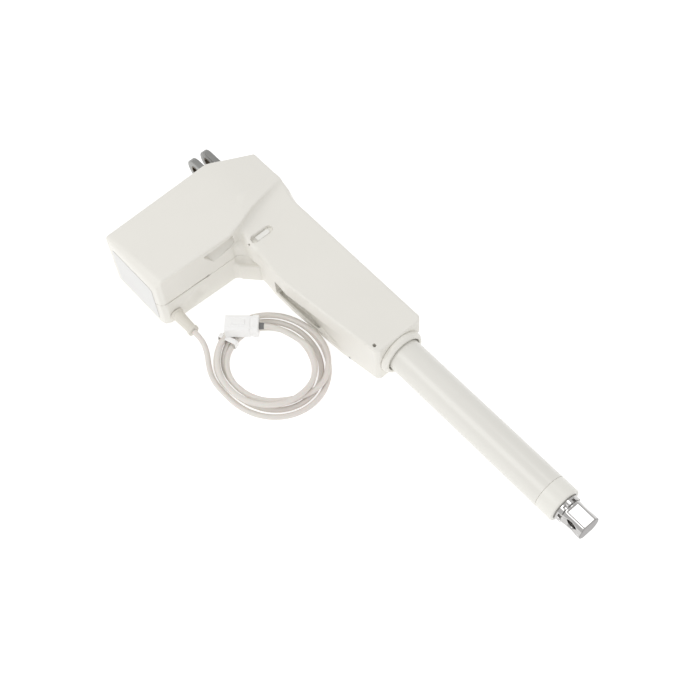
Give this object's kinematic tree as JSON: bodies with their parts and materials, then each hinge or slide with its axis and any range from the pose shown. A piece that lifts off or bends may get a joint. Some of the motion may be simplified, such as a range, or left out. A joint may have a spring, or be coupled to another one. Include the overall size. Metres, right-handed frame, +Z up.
{
  "type": "linear actuator",
  "caption": "Electric linear actuator: worm-geared motor beside a lead screw, painted tube, chromed rod with eye, rear fork, coiled cord with connector.",
  "frame": {"origin": "centre of the rear clevis pin hole", "axes": "+X along the lead screw to the rod end, +Y along the rear pin hole from the motor side to the screw side, +Z up from the face that it lies on"},
  "size_m": [0.5042, 0.1635, 0.0656],
  "materials": {
    "housing": "moulded, satin",
    "plate": "printed film, blank",
    "white_plug": "moulded",
    "painted_tube": "gloss paint",
    "tube_cap": "moulded, satin",
    "grey_plastic": "moulded",
    "seal_rubber": "moulded",
    "dark_steel": "zinc plated, dull",
    "bronze": "sintered",
    "bearing_steel": "ground",
    "cast_metal": "die cast",
    "motor_steel": "passivated",
    "magnet": "sintered ferrite",
    "zinc_plate": "zinc plated",
    "black_plastic": "moulded",
    "carbon": "sintered carbon",
    "circuit_board": "lacquered",
    "blue_plastic": "moulded",
    "capacitor_sleeve": "shrink sleeve",
    "soft_white": "soft moulded",
    "cord_jacket": "soft vinyl",
    "plug_white": "moulded nylon",
    "rolled_steel": "rolled",
    "gear_plastic": "moulded acetal",
    "laminations": "stamped",
    "copper": "enamelled copper",
    "rod_chrome": "hard chrome",
    "nut_brass": "turned",
    "zinc_screws": "zinc plated"
  },
  "bodies": {
    "housing": {"top_shell": "housing", "bottom_shell": "housing", "housing_screws": "zinc_screws", "rating_plate": "plate", "access_plug": "white_plug", "front_collar": "housing", "outer_tube": "painted_tube", "tube_end_cap": "tube_cap", "guide_bush": "grey_plastic", "wiper_ring": "seal_rubber", "rear_clevis": "dark_steel", "clevis_bushes": "bronze", "rear_bearing_outer_ring": "bearing_steel", "rear_bearing_balls": "bearing_steel", "front_bearing_outer_ring": "bearing_steel", "front_bearing_balls": "bearing_steel", "bearing_block": "cast_metal", "motor_can": "motor_steel", "motor_magnets": "magnet", "motor_front_plate": "zinc_plate", "motor_front_bush": "bronze", "brush_cap": "black_plastic", "brushes": "carbon", "motor_rear_bush": "bronze", "motor_rubber_rings": "seal_rubber", "worm_bush": "bronze", "encoder_board": "circuit_board", "control_board": "circuit_board", "relays": "blue_plastic", "capacitor": "capacitor_sleeve", "strain_relief": "soft_white", "cord_lead": "cord_jacket", "cord_coil": "cord_jacket", "cord_tail": "cord_jacket", "cord_plug": "plug_white"},
    "motor_rotor": {"worm_shaft": "rolled_steel", "armature_core": "laminations", "armature_windings": "copper", "commutator": "copper", "encoder_magnet": "magnet"},
    "screw": {"lead_screw": "rolled_steel", "worm_wheel": "gear_plastic", "wheel_key": "rolled_steel", "rear_bearing_inner_ring": "bearing_steel", "front_bearing_inner_ring": "bearing_steel", "screw_stop": "rolled_steel"},
    "rod": {"rod_tube": "rod_chrome", "drive_nut": "nut_brass", "nut_pins": "rolled_steel", "nut_glide": "black_plastic", "rod_lock_ring": "rod_chrome", "rod_eye": "rod_chrome"}
  },
  "joints": [
    {"name": "motor_spin", "type": "hinge", "parent": "housing", "child": "motor_rotor", "pos_m": [0.062, 0, 0.019], "axis": [0, -1, 0], "range_deg": [0, 337500]},
    {"name": "screw_spin", "type": "hinge", "parent": "housing", "child": "screw", "pos_m": [0.06, 0, 0], "axis": [-1, 0, 0], "range_deg": [0, 13500]},
    {"name": "rod_slide", "type": "slide", "parent": "housing", "child": "rod", "axis": [1, 0, 0], "range_m": [0, 0.3]}
  ],
  "couplings": [
    {"joint": "motor_spin", "follows": "rod_slide", "rad_per_m": 19635},
    {"joint": "screw_spin", "follows": "rod_slide", "rad_per_m": 785.4}
  ]
}
